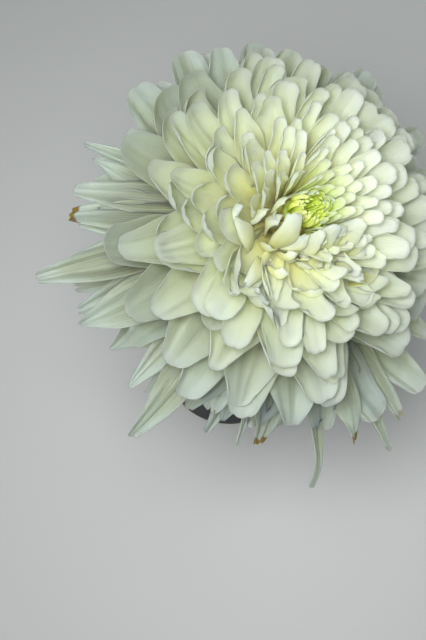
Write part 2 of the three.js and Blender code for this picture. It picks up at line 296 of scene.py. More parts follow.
def stonewareSurface():
    look = stonewareLook
    s = Surface("charcoalStoneware", {"Specular IOR Level": look["gloss"]})
    place = s.place()
    cloud = s.noise(look["cloudScale"], 4.0)
    squashed = s.node("ShaderNodeMapping", {}, {"Vector": place, "Scale": look["bandSquash"]})
    bands = s.noise(look["bandScale"], 3.0, squashed)
    grains = s.noise(look["grainScale"], 2.0)
    cells = s.node("ShaderNodeTexVoronoi", {}, {"Vector": place, "Scale": look["speckScale"]}, "Distance")
    specks = (1 - cells.between(0.10, 0.24)) * s.noise(look["patchScale"]).between(0.56, 0.64)
    worn = s.trait("worn") * (0.35 + 0.65 * grains.between(0.35, 0.65))
    colour = s.cover(s.ramp(0.6 * cloud + 0.4 * bands, look["clay"]), specks, look["speck"])
    colour = s.cover(colour, worn, look["worn"])
    s.feed("Base Color", colour)
    return s.finished(0.50 + 0.22 * cloud + 0.10 * grains, grains + 1.5 * bands, look["bump"], 0.7)


waterLook = {
    "body": {"Transmission Weight": 1.0, "IOR": 1.33, "Base Color": tint(236, 244, 240)},
    "cloudScale": 60.0, "rippleScale": 45.0, "bump": 0.05 * mm,
}


def waterSurface():
    look = waterLook
    s = Surface("clearWater", look["body"])
    roughness = 0.015 + 0.02 * s.noise(look["cloudScale"])
    return s.finished(roughness, s.noise(look["rippleScale"], 1.0), look["bump"], 0.3)


# Meshes

def addObject(name, data):
    made = bpy.data.objects.new(name, data)
    bpy.context.scene.collection.objects.link(made)
    return made


def addPiece(name, points, faces, material, node, traits):
    mesh = bpy.data.meshes.new(name)
    mesh.from_pydata(np.asarray(points).tolist(), [], [list(face) for face in faces])
    for trait, values in traits.items():
        layer = mesh.attributes.new(trait, "FLOAT", "POINT")
        layer.data.foreach_set("value", np.asarray(values, np.float32))
    mesh.polygons.foreach_set("use_smooth", np.ones(len(mesh.polygons), bool))
    mesh.materials.append(material)
    mesh.validate()
    piece = addObject(name, mesh)
    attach(piece, "root")
    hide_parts(node)
    print(name, len(mesh.polygons), "faces")


# Quads between the rings of a loft, and a fan at each pole
def loftFaces(rings, count):
    faces = []
    for ring in range(rings - 1):
        low = ring * count
        high = low + count
        for k in range(count):
            after = (k + 1) % count
            faces.append((low + k, low + after, high + after, high + k))
    pole = rings * count
    last = pole - count
    for k in range(count):
        after = (k + 1) % count
        faces.append((pole, after, k))
        faces.append((pole + 1, last + k, last + after))
    return faces


def roundAngles(sides):
    return np.linspace(0, 2 * pi, sides, endpoint=False)


# A closed solid turned about +Z, with relief(azimuth, height) added to its radius
def turnedSolid(profile, sides, relief):
    azimuth = roundAngles(sides)
    rings = []
    for radius, height in profile[1:-1]:
        grown = radius + relief(azimuth, height)
        level = np.full(sides, height)
        rings.append(np.stack([grown * np.cos(azimuth), grown * np.sin(azimuth), level], -1))
    poles = [(0, 0, profile[0][1]), (0, 0, profile[-1][1])]
    return np.concatenate(rings + [poles]), loftFaces(len(rings), sides)


# The flower's own frame: +Z is the way it faces, and azimuth 90 is the rim's upper side
flower = {"centre": (10, -55, 185), "facing": (0.42, -0.402, 0.813), "upperSide": (0, 0.848, 0.53)}


def toRow(points):
    facing = Vector(flower["facing"]).normalized()
    upper = Vector(flower["upperSide"])
    upper = (upper - facing * upper.dot(facing)).normalized()
    turn = Matrix((upper.cross(facing), upper, facing)).transposed().to_4x4()
    placed = np.array(Matrix.Translation(Vector(flower["centre"])) @ turn)
    return points @ placed[:3, :3].T + placed[:3, 3]


# Petals, in millimetres in the flower's frame

# cell is how far apart petals stand at the rim, and innermost the theta of the last petal before the eye
dome = {
    "radius": 55, "height": 35, "backHeight": 30, "flare": 0.22, "dip": 6, "petalWidth": 19,
    "cell": 12.0, "innermost": 5.5,
}
# Where round the flower petals differ: the middle and half width of each zone, in degrees
zones = {
    "parting": (236, 70), "coveredEye": (236, 90), "largerPetals": (250, 120),
    "loosePetals": (262, 100), "flatPetals": (165, 110), "thinnedPetals": (165, 80),
    "bluntPetals": (95, 100), "lowWhorl": (255, 120), "highWhorl": (80, 110),
}
# The first number of each kind of petal, so that no two share their draws
starts = {"outer": 400, "whorl": 500, "folded": 700, "open": 720, "crowd": 740, "bract": 900, "floret": 1000}

# Long petals that reach past the dome: azimuth, reach, height, width and how brown the tip is
outerRows = [
    (140, 58, -2, 19, 0), (123, 57, -2, 19, 0), (108, 54, -8, 14, 0),
    (90, 55, -3, 18, 0), (69, 54, -3, 17, 0), (52, 62, -3, 15, 0),
    (42, 63, -8, 15, 0), (32, 65, -4, 16, 0), (18, 64, -8, 15, 0),
    (2, 63, -6, 15, 0), (346, 64, -8, 16, 0), (331, 67, -9, 16, 0),
    (156, 59, -12, 6, 0), (167, 56, -19, 11, 0.3), (177, 56, -20, 12, 1),
    (189, 58, -18, 12, 0.5), (195, 70, -16, 11, 0), (211, 62, -16, 15, 0),
    (222, 57, -9, 15, 0), (231, 63, -14, 12, 0), (239, 73, -20, 11, 0.3),
    (245, 58, -18, 16, 0), (252, 58, -11, 17, 0), (260, 59, -16, 15, 0),
    (267, 66, -22, 4.5, 0), (276, 66, -26, 12, 1), (275, 60, -14, 18, 0),
    (287, 66, -16, 16, 0), (288, 84, -28, 5.5, 0), (295, 74, -12, 8, 1),
    (302, 71, -9, 17, 0.4), (305, 84, -14, 11, 0.4), (309, 77, -11, 7, 0.6),
    (316, 75, -9, 15, 0),
]
# Shorter petals under them, in whorls round the back
whorls = [
    {"count": 14, "theta": 112, "reach": 54, "height": -17, "width": 13.5},
    {"count": 12, "theta": 126, "reach": 49, "height": -26, "width": 13.5},
]
# Petals round the parting that show their backs: root, tip, width, bow, curl, cup, roll, hook
foldedRows = [
    ((-13, -10.5, 10), (-25.5, -3.5, 28.5), 8, -30, -34, 0.9, 14, 0),
    ((-7.5, -10.8, 10), (-8.5, -2, 33), 8.5, -22, -34, 0.8, -20, 0),
    ((-4, -10.8, 10), (-2.5, -7, 29.5), 8.5, -12, -46, 0.8, 26, 0),
    ((-1, -10.8, 10), (1.5, -6.5, 31), 7.5, -16, -50, 0.9, -14, 0),
    ((2.5, -11, 10), (6.5, -5, 31), 8.5, -14, -34, 0.7, 10, 0),
    ((6, -11, 10), (9, -5, 30), 8, -18, -36, 0.9, 22, 0),
    ((8.5, -11, 10), (14.5, -3.5, 31.5), 10, -20, -24, 0.7, -12, 0),
    ((11, -10.5, 10), (20, -7.5, 27), 8, -26, -40, 0.9, 14, 0),
    ((8.5, -12.5, 10), (17, -20, 25.5), 7.5, -30, -46, 1.0, -10, 0),
    ((-8.5, -12, 9), (-21, -22, 24.5), 6.5, -28, -40, 1.0, -20, 0),
    ((-16, -12.5, 8), (-24, -24.5, 23), 7, -26, -30, 1.0, 24, 0),
]
# The same for petals there that stand open
openRows = [
    ((-9.5, -5.5, 11), (-17.5, -1, 29), 7.5, 10, 20, 1.2, 0, 50),
    ((-7, -6.5, 11), (-13, -2.5, 29.5), 6, 6, 20, 1.3, 10, 50),
    ((-5, -5, 11), (-11, 3, 31), 6, 6, 20, 1.2, 10, 30),
    ((1.5, -13, 9), (3.4, -26, 25), 10.5, 16, 26, 1.2, 4, 80),
    ((-6, -12, 9), (-10, -19.5, 26), 5.5, 10, 24, 1.3, -16, 70),
    ((-3, -12.5, 9), (-3.6, -24.5, 25), 4, 8, 10, 1.3, 0, 30),
    ((4, -12, 9), (7, -16, 27), 5.5, 6, 20, 1.3, 20, 60),
    ((0, -11.5, 9), (0.8, -13, 27.5), 5, 0, 26, 1.4, -20, 50),
    ((-3.5, -11, 9), (-6, -13.5, 28), 5, 0, 30, 1.4, 20, 50),
    ((-10, -11.5, 9), (-22, -20, 26), 12, 16, 20, 1.25, 6, 50),
    ((-4, -13.5, 8), (-18.5, -28, 23), 12, 20, 24, 1.1, -6, 100),
    ((5, -14, 8), (12, -30.5, 21.5), 10.5, 18, 22, 1.1, -6, 100),
    ((-2, -14, 8), (-4.5, -30, 22.5), 4.5, 12, 10, 1.2, 12, 40),
    ((13, -12, 8), (26, -19, 22.5), 12, 16, 20, 1.0, 0, 60),
    ((10, -14, 8), (22.5, -27.5, 20.5), 12.5, 16, 22, 1.0, 6, 60),
    ((12, -9, 9), (24, -12, 26.5), 9, 16, 26, 1.1, -6, 110),
]
crowd = {"count": 8, "from": 205, "to": 295, "nearest": 9, "furthest": 16, "middle": 10, "height": 25}
# How petals are pressed clear of those above them, in millimetres and in steps of their grids
press = {"cell": 0.8, "cells": 260, "gap": 0.6, "most": 6, "easing": 13, "blurring": 3, "finer": 4}


# 1 in the middle of a zone, falling to 0 at its half width
def sector(azimuth, zone):
    middle, halfWidth = zones[zone]
    off = abs((azimuth - middle + 180) % 360 - 180)
    return 0.0 if off >= halfWidth else 0.5 + 0.5 * cos(pi * off / halfWidth)


# Where a petal's tip lies on the dome. theta is its polar angle from the flower's axis, in degrees.
def tipPoint(theta):
    angle = radians(theta)
    flare = 1 + dome["flare"] * smooth(88, 125, theta)
    height = dome["height"] if theta < 90 else dome["backHeight"]
    dip = dome["dip"] * (1 - smooth(0, 16, theta))
    return dome["radius"] * sin(angle) * flare, height * cos(angle) - dip


def rootPoint(theta):
    share = min(1, theta / 130)
    return 5 + 6 * share, 17 - 16 * share ** 1.1


def widthAt(theta):
    return dome["petalWidth"] * (min(theta, 100) / 90) ** 0.68


# How far theta falls from one petal to the next, so that each has its share of the dome's surface
def stepAt(theta):
    angle = radians(theta)
    slope = hypot(dome["radius"] * cos(angle), dome["height"] * sin(angle))
    areaPerDegree = 2 * pi * max(3.0, tipPoint(theta)[0]) * radians(1) * slope
    cell = dome["cell"] * (theta / 90) ** 0.72 * (1 + 0.14 * smooth(30, 50, theta))
    return (1 + 1.2 * (1 - smooth(14, 45, theta))) * cell**2 / areaPerDegree


# root and tip are radius and height, from origin. bow bends a petal outwards at its root and curl inwards
# at its tip, in degrees. cup rolls its edges up, roll turns it about its length, drift moves its tip
# sideways, and hook turns the tip up and back.
def makePetal(index, theta, azimuth, width, root, tip, **own):
    outer = smooth(92, 112, theta)
    petal = dict(index=index, theta=theta, azimuth=azimuth, width=width, root=root, tip=tip)
    shape = {
        "origin": (0, 0),
        "bow": (1 - outer) * (3 + 17 * smooth(15, 60, theta)) - 20 * outer + 6 * swing(index, 5),
        "curl": (1 - outer) * (-10 + 30 * smooth(10, 75, theta) + 12 * swing(index, 6))
        + outer * (-26 + 22 * swing(index, 7)),
        "cup": 1.0 + 0.35 * (1 - smooth(15, 80, theta)) + 0.2 * swing(index, 11) - 0.25 * outer,
        "roll": 9 * swing(index, 15) * (1 + 2 * outer),
        "drift": 0.3 * width * swing(index, 16),
        "taper": 0.18 + 0.10 * swing(index, 8),
        "point": outer * (0.45 + 0.5 * chance(index, 23)) + (1 - outer) * 0.45 * chance(index, 23) ** 2,
        "rootWidth": 0.46 - 0.14 * smooth(50, 80, theta),
        "fullFrom": 0.66,
        "hood": (1 - outer) * (0.03 + 0.06 * chance(index, 22)),
        "hook": (1 - outer) * (42 + 24 * swing(index, 24)) * (0.45 + 0.55 * smooth(15, 50, theta)),
        "notch": (0.3 + 0.8 * chance(index, 9) * (0.4 + outer)) * (chance(index, 10) > 0.5),
        "rag": 0.5 * outer * (chance(index, 21) > 0.7) * (width > 10),
        "wave": 0.3 + outer,
        "brown": 0.0,
        "backFirst": False,
        "deep": 1.0,
    }
    return {**petal, **shape, **own}


# The dome from its rim to the eye, each petal a golden angle on from the last. The parting is left open.
def domePetals():
    petals = []
    theta = 90.0
    index = 0
    while theta > dome["innermost"]:
        azimuth = index * goldenAngle % 360
        larger = 0.3 * sector(azimuth, "largerPetals") * smooth(14, 30, theta)
        larger = larger * (1 - smooth(70, 95, theta))
        loose = sector(azimuth, "loosePetals") * smooth(38, 70, theta)
        part = smooth(0.12, 0.5, sector(azimuth, "parting"))
        apart = part > 0 and 30 <= theta < 55
        width = widthAt(theta) * (1 + 0.18 * swing(index, 1)) * (1 + larger)
        own = {}
        if theta < 30:
            own["curl"] = -10 + 10 * swing(index, 6) - 12 * sector(azimuth, "flatPetals")
            own["hook"] = 30 + 12 * swing(index, 24)
        if loose > 0.15:
            own.update(point=loose * (0.25 + 0.5 * chance(index, 23)), hook=(1 - loose) * 40)
            own.update(curl=18 - 30 * loose + 14 * swing(index, 6), rag=0.4 * (chance(index, 21) > 0.7))
            width = width * (1 + 0.12 * loose)
        if apart:
            own.update(curl=20 - 45 * part, bow=18 - 14 * part)
            own.update(cup=1.0 + 0.2 * swing(index, 11), hook=45 + 25 * swing(index, 24))
        mine = theta + 4.5 * swing(index, 2) * smooth(5, 40, theta) + (5 * part if apart else 0)
        missing = 0.4 * loose
        if theta < 18:
            missing = max(missing, sector(azimuth, "thinnedPetals"))
        if (theta >= 30 or part < 0.25) and chance(index, 31) >= missing:
            turnedTo = azimuth + 6 * swing(index, 3)
            reach, height = tipPoint(mine)
            tip = (reach * (1 + 0.11 * loose), height - 4 * loose * (1 + swing(index, 32)))
            petals.append(makePetal(index, mine, turnedTo, width, rootPoint(mine), tip, **own))
        theta -= stepAt(theta)
        index += 1
    return petals


def outerPetals():
    petals = []
    for k, (azimuth, reach, height, width, brown) in enumerate(outerRows, starts["outer"]):
        theta = 100 if height > -10 else 108
        petal = makePetal(k, theta, azimuth, width, rootPoint(theta), (reach, height), brown=brown)
        petal["point"] *= 1 - 0.8 * sector(azimuth, "bluntPetals")
        petals.append(petal)
    return petals


def whorlPetals():
    petals = []
    for whorl, row in enumerate(whorls):
        for k in range(row["count"]):
            index = starts["whorl"] + 40 * whorl + k
            azimuth = 360 * (k + 0.5 * whorl) / row["count"] + 7 * swing(index, 1)
            low = sector(azimuth, "lowWhorl")
            high = sector(azimuth, "highWhorl")
            reach = row["reach"] * (1 + 0.1 * low - 0.08 * high) + 4 * swing(index, 2)
            height = row["height"] - 6 * low + 4 * swing(index, 3)
            width = row["width"] + 2.5 * swing(index, 4)
            theta = row["theta"]
            petals.append(makePetal(index, theta, azimuth, width, rootPoint(theta), (reach, height)))
    return petals


# Petals that are placed one by one. The folded ones show their backs.
# deep pushes the dark yellow root colour further up a petal: painted shade in the hollows of the scoops,
# over their yellow bases
folded = {"taper": 0.34, "rootWidth": 0.6, "rag": 0.5, "deep": 1.5, "backFirst": True}
opened = {"taper": 0.2, "rootWidth": 0.4, "rag": 0.0, "deep": 2.5, "backFirst": False}


# A petal from one point to another, which bends in the upright plane through both
def placedPetal(index, root, tip, width, bow, curl, cup, roll, hook, kind):
    run = (tip[0] - root[0], tip[1] - root[1])
    own = {"origin": root[:2], "drift": 0, "hood": 0.02, "fullFrom": 0.6}
    own.update(bow=bow, curl=curl, cup=-cup if kind["backFirst"] else cup, roll=roll, hook=hook)
    own["point"] = (0.55 if kind["backFirst"] else 0.2) * chance(index, 33)
    azimuth = degrees(atan2(run[1], run[0]))
    reach = hypot(*run)
    return makePetal(index, 24, azimuth, width, (0, root[2]), (reach, tip[2]), **own, **kind)


# Small petals crowded in the parting: those nearer the eye lean over it, the others lean away
def crowdedPetals():
    petals = []
    for k in range(crowd["count"]):
        index = starts["crowd"] + k
        share = (k + 0.5) / crowd["count"]
        azimuth = radians(crowd["from"] + (crowd["to"] - crowd["from"]) * share)
        radius = crowd["nearest"] + (crowd["furthest"] - crowd["nearest"]) * (k * 0.618 % 1)
        lean = (radius - crowd["middle"]) * 0.8 + 1.2 * swing(index, 2)
        reach = radius + lean
        turned = azimuth + 0.12 * swing(index, 3)
        root = (radius * cos(azimuth), radius * sin(azimuth), 10)
        height = crowd["height"] - 0.35 * abs(lean) + 2 * swing(index, 4)
        tip = (reach * cos(turned), reach * sin(turned), height)
        width = 5.6 + 1.2 * swing(index, 5)
        curl = 14 + 14 * swing(index, 6)
        roll = 16 * swing(index, 7)
        kind = folded if lean < 0 else opened
        petals.append(placedPetal(index, root, tip, width, 0, curl, 1.3, roll, 14, kind))
    return petals


def partingPetals():
    petals = [placedPetal(k, *row, folded) for k, row in enumerate(foldedRows, starts["folded"])]
    petals += [placedPetal(k, *row, opened) for k, row in enumerate(openRows, starts["open"])]
    return petals + crowdedPetals()


eye = {"count": 60, "radius": 4.6, "height": 25.5, "rise": 4.4, "width": 1.3, "rootHeight": 17}
tubular = {"bow": 15, "cup": 1.4, "drift": 0, "notch": 0.25, "hood": 0, "rag": 0, "wave": 0}


# The green florets of the eye, tubular and not yet open
def eyeFlorets():
    florets = []
    for k in range(eye["count"]):
        index = starts["floret"] + k
        share = sqrt((k + 0.5) / eye["count"])
        azimuth = (k * goldenAngle + 12 * swing(index, 2)) % 360
        kept = 1 - 0.5 * sector(azimuth, "coveredEye")
        root = (0.3 + 2.4 * share, eye["rootHeight"])
        reach = (1.0 + eye["radius"] * share + 0.5 * swing(index, 4)) * kept
        height = eye["height"] + eye["rise"] * share * kept + 1.3 * swing(index, 3)
        width = eye["width"] + 1.1 * share
        own = {"curl": 10 + 30 * chance(index, 6), "point": 0.4 * chance(index, 7)}
        florets.append(makePetal(index, 1, azimuth, width, root, (reach, height), **tubular, **own))
    return florets


# Places along a petal, from 0 to 1 and closer together at its tip
def lengthPlaces(lengthwise):
    return np.sin(np.linspace(0, pi / 2, lengthwise + 1))[:, None]


# Places across a petal, from -1 to 1 and a little closer together at its edges
def widthPlaces(sideways):
    even = np.linspace(-1, 1, sideways + 1)
    return (0.5 * even + 0.5 * np.sin(even * pi / 2))[None, :]


fold = {"places": (-0.36, 0.02, 0.38), "halfWidth": 0.13, "firstDraw": 27}


# How deep a petal's folds are in millimetres, and where they run: one to three lines from root to tip
def petalFolds(petal, t, x):
    index = petal["index"]
    depth = (0.08 + 1.25 * smooth(35, 85, petal["theta"])) * (0.4 + 0.9 * chance(index, 12))
    lines = 0.0 * t * x
    for draw, place in enumerate(fold["places"], fold["firstDraw"]):
        line = place + 0.10 * swing(index, draw)
        share = smooth(0.2, 0.75, chance(index, draw + 3))
        lines = lines + share * np.exp(-(((x - line) / fold["halfWidth"]) ** 2))
    return depth * smooth(0.15, 0.5, t) * (1 - 0.6 * smooth(0.86, 1, t)), lines


# The line that a petal's middle follows at u, a cubic curve in radius and height, and its direction
def middleLine(petal, chord, u):
    root = np.array(petal["root"])
    tip = np.array(petal["tip"])
    heading = atan2(tip[0] - root[0], tip[1] - root[1])
    start = heading + radians(petal["bow"])
    end = heading - radians(petal["curl"])
    handle = 0.4 * chord
    first = root + handle * np.array([sin(start), cos(start)])
    second = tip - handle * np.array([sin(end), cos(end)])
    a, b, c, d = [point[:, None, None] for point in (root, first, second, tip)]
    v = 1 - u
    line = v**3 * a + 3 * v * v * u * b + 3 * v * u * u * c + u**3 * d
    slope = v * v * (b - a) + 2 * v * u * (c - b) + u * u * (d - c)
    return line, slope / np.hypot(*slope)


# A petal's middle sheet, a grid of points lengthwise and sideways
def petalSheet(petal, lengthwise, sideways):
    index = petal["index"]
    width = petal["width"]
    chord = np.hypot(*(np.array(petal["tip"]) - np.array(petal["root"])))
    t = lengthPlaces(lengthwise)
    x = widthPlaces(sideways)
    rootWidth = petal["rootWidth"]
    fullFrom = petal["fullFrom"]
    half = rootWidth + (1 - rootWidth) * smooth(0, fullFrom, t)
    half = half - petal["taper"] * smooth(fullFrom - 0.12, 1, t) ** 1.4
    half = half * (1 - petal["point"] * np.clip((t - 0.66) / 0.34, 0, 1) ** 2) * width / 2
    # The rounded tip, with its notches and torn edge
    tipHalf = width / 2 * (1 - petal["taper"]) * (1 - petal["point"])
    u = t - 0.85 * tipHalf / chord * (1 - np.sqrt(1 - 0.97 * x * x)) * t ** 5
    u = u - petal["notch"] / chord * np.exp(-(((np.abs(x) - 1 / 3) / 0.12) ** 2)) * t ** 10
    torn = petal["rag"] / chord * (0.5 + 0.5 * np.sin(x * 9 + index)) * np.sin(x * 23 + 2 * index) ** 2
    u = u - torn * t ** 14
    # The hook that turns the tip up and back over the petal
    hooked = 0.26
    turn = radians(petal["hook"]) + 0.001
    bent = turn * np.clip((u - 1 + hooked) / hooked, 0, 1)
    raised = chord * hooked / turn * (1 - np.cos(bent))
    u = np.where(bent > 0, 1 - hooked + hooked / turn * np.sin(bent), u)
    line, along = middleLine(petal, chord, u)
    # Cup, grooves, waved edges and the tip's hood, all towards the inner face
    cup = petal["cup"] * (0.55 + 0.45 * smooth(0.45, 0.9, t)) + 0.001
    wide = half * np.sin(cup * x) / cup
    deep = half * (1 - np.cos(cup * x)) / cup + raised
    crease, folds = petalFolds(petal, t, x)
    deep = deep + crease * (0.3 * np.cos(3 * pi * x) - folds)
    waves = 2 * pi * (1.1 + 1.3 * chance(index, 13))
    phase = waves * t + 6 * chance(index, 14) + np.where(x > 0, 1.7, 0)
    deep = deep + petal["wave"] * np.sin(phase) * np.abs(x) ** 3 * smooth(0.3, 0.7, t)
    deep = deep + width * petal["hood"] * smooth(0.78, 1.0, t) ** 1.5
    roll = radians(petal["roll"]) * t
    sidewise = wide * np.cos(roll) - deep * np.sin(roll) + petal["drift"] * t**1.5
    inward = wide * np.sin(roll) + deep * np.cos(roll)
    azimuth = radians(petal["azimuth"])
    out = np.array([cos(azimuth), sin(azimuth), 0])
    across = np.array([-sin(azimuth), cos(azimuth), 0])
    up = np.array([0, 0, 1.0])
    radius = line[0] - along[1] * inward
    height = line[1] + along[0] * inward
    sheet = radius[..., None] * out + height[..., None] * up + sidewise[..., None] * across
    return sheet + np.array([*petal["origin"], 0])


# The same grid with more rows
def withMoreRows(grid):
    rows = np.linspace(0, len(grid) - 1, press["finer"] * len(grid))
    lower = np.minimum(rows.astype(int), len(grid) - 2)
    share = (rows - lower)[:, None, None]
    return grid[lower] * (1 - share) + grid[lower + 1] * share


# The square of the pressing grid that each point stands over
def squaresUnder(points):
    places = points[..., :2] / press["cell"] + press["cells"] / 2
    return tuple(np.moveaxis(places.astype(int), -1, 0))


# Sheets come from the uppermost down. Each is pressed clear of those above it, eased away from there.
def pressSheets(sheets):
    lowest = np.full((press["cells"], press["cells"]), 1e3)
    for sheet in sheets:
        t = lengthPlaces(len(sheet) - 1)
        need = sheet[..., 2] + press["gap"] - lowest[squaresUnder(sheet)]
        need = np.clip(need, 0, press["most"]) * smooth(0.25, 0.5, t)
        pressed = need
        for step in range(press["easing"]):
            wide = np.pad(pressed, 1, mode="edge")
            eased = (wide[:-2, 1:-1] + wide[2:, 1:-1] + wide[1:-1, :-2] + wide[1:-1, 2:]) / 4
            blurred = step >= press["easing"] - press["blurring"]
            pressed = eased if blurred else np.maximum(need, eased)
        sheet[..., 2] -= pressed * smooth(0, 0.3, t)
        dense = withMoreRows(sheet[len(sheet) // 4 :])
        dense = withMoreRows(dense.swapaxes(0, 1))
        np.minimum.at(lowest, squaresUnder(dense), dense[..., 2])


skin = {"halfThickness": 0.20, "rimFrom": 0.88, "tipRimFrom": 0.97, "brownFrom": 0.94}


# A petal's closed skin about its middle sheet
def petalMesh(petal, sheet):
    rows, columns = sheet.shape[:2]
    t = lengthPlaces(rows - 1)
    x = widthPlaces(columns - 1)
    normal = np.cross(np.gradient(sheet, axis=0), np.gradient(sheet, axis=1))
    normal /= norm(normal, axis=-1)[..., None]
    thick = skin["halfThickness"] * np.sqrt(1 - np.abs(x) ** 4) * np.sqrt(1 - t**12) * (1.3 - 0.3 * t)
    skins = [sheet + face * thick[..., None] * normal for face in (1, -1)]
    # Both skins share the points of the rim
    grid = np.arange(rows * columns).reshape(rows, columns)
    within = np.zeros(grid.shape, bool)
    within[1:-1, 1:-1] = True
    under = grid.copy()
    under[within] = grid.size + np.arange(within.sum())
    points = np.concatenate([skins[0].reshape(-1, 3), skins[1][within]])
    points[grid[~within]] = (skins[0][~within] + skins[1][~within]) / 2

    def quads(grid):
        return np.stack([grid[:-1, :-1], grid[1:, :-1], grid[1:, 1:], grid[:-1, 1:]], -1).reshape(-1, 4)

    # The values of a whole grid, for the points of both skins
    def onBoth(values):
        return np.concatenate([values.ravel(), values[within]])

    shares, places = np.broadcast_arrays(t, x)
    sides = np.concatenate([np.where(within, 0.0, 0.5).ravel(), np.ones(within.sum())])
    tips = petal["brown"] * smooth(skin["brownFrom"], 1.0, shares + 0.03 * np.abs(places))
    rims = smooth(skin["rimFrom"], 1.0, np.abs(places))
    rims = np.maximum(rims, smooth(skin["tipRimFrom"], 1.0, shares))
    crease, folds = petalFolds(petal, t, x)
    traits = {
        # Raised to the power deep, so deep petals take more of the darker root colour: painted shade in
        # their hollows
        "petalAlong": onBoth(shares) ** petal["deep"],
        "petalAcross": onBoth(places) * petal["width"] / 2,
        "petalSide": 1 - sides if petal["backFirst"] else sides,
        "petalBrown": onBoth(tips),
        # Where the rims are darkened, partly as painted shade
        "petalRim": onBoth(rims * smooth(0.3, 0.7, shares)),
        # Where the creases are darkened as painted shade
        "petalFold": onBoth(np.minimum(1, crease * folds)),
        "petalTone": np.full(len(points), chance(petal["index"], 20)),
        "petalTheta": np.full(len(points), petal["theta"]),
    }
    # The lower skin faces the other way
    return points, np.concatenate([quads(grid), quads(under)[:, [0, 3, 2, 1]]]), traits


# Parts joined in one mesh. Each is its points, its faces and its traits, with a value for each point.
def joined(parts):
    points, faces, traits = zip(*parts)
    offsets = np.cumsum([0] + [len(group) for group in points])
    moved = [np.array(face) + offset for group, offset in zip(faces, offsets) for face in group]
    merged = {key: np.concatenate([group[key] for group in traits]) for key in traits[0]}
    return np.concatenate(points), moved, merged


def addPetals(name, petals, sheets, material, node):
    points, faces, traits = joined([petalMesh(petal, sheet) for petal, sheet in zip(petals, sheets)])
    addPiece(name, toRow(points) * mm, faces, material, node, traits)


# How finely petals are made, lengthwise and sideways
grids = {"inner": (20, 12), "middle": (22, 14), "outer": (24, 18), "eye": (10, 6), "bract": (12, 10)}
# The furthest theta of each piece of the bloom
furthest = {"inner": 40, "middle": 80, "outer": 180}


def addBloom(material):
    groups = {"inner": partingPetals(), "middle": [], "outer": []}
    for petal in domePetals()[::-1]:
        mine = next(key for key in groups if petal["theta"] <= furthest[key])
        groups[mine].append(petal)
    groups["outer"] += outerPetals() + whorlPetals()
    sheets = {key: [petalSheet(petal, *grids[key]) for petal in petals] for key, petals in groups.items()}
    pressSheets([sheet for group in sheets.values() for sheet in group])
    for key, petals in groups.items():
        addPetals(key + "Petals", petals, sheets[key], material, "bloom")
        print(len(petals), "petals")


def addEye(material):
    florets = eyeFlorets()
    sheets = [petalSheet(floret, *grids["eye"]) for floret in florets]
    addPetals("eyeFlorets", florets, sheets, material, "green_eye")


# The heart's outline as radius and height, with low bumps where petals grow from it
heart = {
    "under": [(0, -6), (13.8, -6), (19, -2), (20, 3)],
    "domed": [(17, 7.4), (12.5, 10.6), (8, 13.6), (5.2, 18), (0, 19)],
    "bumps": 13, "bump": 0.35, "rings": 36, "sides": 72,
}


def addHeart(material):
    def relief(azimuth, height):
        return heart["bump"] * np.sin(heart["bumps"] * azimuth + 1.9 * height) * smooth(-4, 2, height)

    corners = np.array(heart["under"] + heart["domed"], float)
    shares = np.linspace(0, len(corners) - 1, heart["rings"])
    profile = [np.interp(shares, range(len(corners)), corners[:, k]) for k in (0, 1)]
    points, faces = turnedSolid(list(zip(*profile)), heart["sides"], relief)
    plain = np.zeros(len(points))
    # The heart takes the darkest colour of the petals' roots, with the outer petals' darker ramp low down:
    # painted shade deep inside the flower. Its top takes the eye's green.
    traits = dict.fromkeys(["petalAcross", "petalSide", "petalBrown", "petalRim", "petalFold"], plain)
    traits["petalAlong"] = plain + 0.02
    traits["petalTone"] = plain + 0.5
    fromAxis = np.hypot(points[:, 0], points[:, 1])
    traits["petalTheta"] = 30 * smooth(3, 6, fromAxis) + 80 * (1 - smooth(2, 7, points[:, 2]))
    addPiece("flowerHeart", toRow(points) * mm, faces, material, "bloom", traits)


print("flower")
petalMaterial = petalSurface()
addBloom(petalMaterial)
addEye(eyeSurface())
addHeart(petalMaterial)

# Stem, with the cup and small leaves under the flower

# Its path is in the vase's frame, and its neck on the flower's axis, up from the cup's lower end
stem = {
    "foot": (-13, 9, 7.2),
    "path": [(-12.6, 0, 45), (-12, -10, 84), (-10.4, -22, 120), (-9.6, -32, 141)],
    "neck": [-12, -2, 6],
    "radius": 3.5, "ridges": 7, "ridge": 0.12, "streaks": 9, "steps": 130, "sides": 42,
}
calyx = {"topRadius": 13.8, "top": -6.3, "bottom": -26, "ribs": 8, "rib": 0.25, "rings": 24, "sides": 64}
bractRows = [
    {"count": 13, "height": -12, "length": 9, "width": 5.2},
    {"count": 11, "height": -16, "length": 8, "width": 5},
    {"count": 8, "height": -20, "length": 7, "width": 4.4},
]


# A smooth line through points, evenly eased by the square root of their distances
def throughPoints(corners, steps):
    corners = [np.array(corner, float) for corner in corners]
    corners = [2 * corners[0] - corners[1]] + corners + [2 * corners[-1] - corners[-2]]
    line = []
    spans = len(corners) - 3
    for step in range(steps + 1):
        place = step / steps * spans
        span = min(spans - 1, int(place))
        a, b, c, d = corners[span : span + 4]
        before, here, after = [sqrt(norm(q - p)) for p, q in ((a, b), (b, c), (c, d))]
        leave = ((b - a) / before - (c - a) / (before + here) + (c - b) / here) * here
        arrive = ((c - b) / here - (d - b) / (here + after) + (d - c) / after) * here
        s = place - span
        line.append(
            (2 * s**3 - 3 * s**2 + 1) * b
            + (s**3 - 2 * s**2 + s) * leave
            + (3 * s**2 - 2 * s**3) * c
            + (s**3 - s**2) * arrive
        )
    return np.array(line)


def stemLine(steps):
    heights = [calyx["bottom"] + height for height in stem["neck"]]
    necks = [toRow(np.array([[0, 0, height]]))[0] for height in heights]
    return throughPoints([stem["foot"], *stem["path"], *necks], steps)


def calyxRadius(height):
    share = (height - calyx["bottom"]) / (calyx["top"] - calyx["bottom"])
    return stem["radius"] + (calyx["topRadius"] - stem["radius"]) * np.sin(pi / 2 * share) ** 0.8


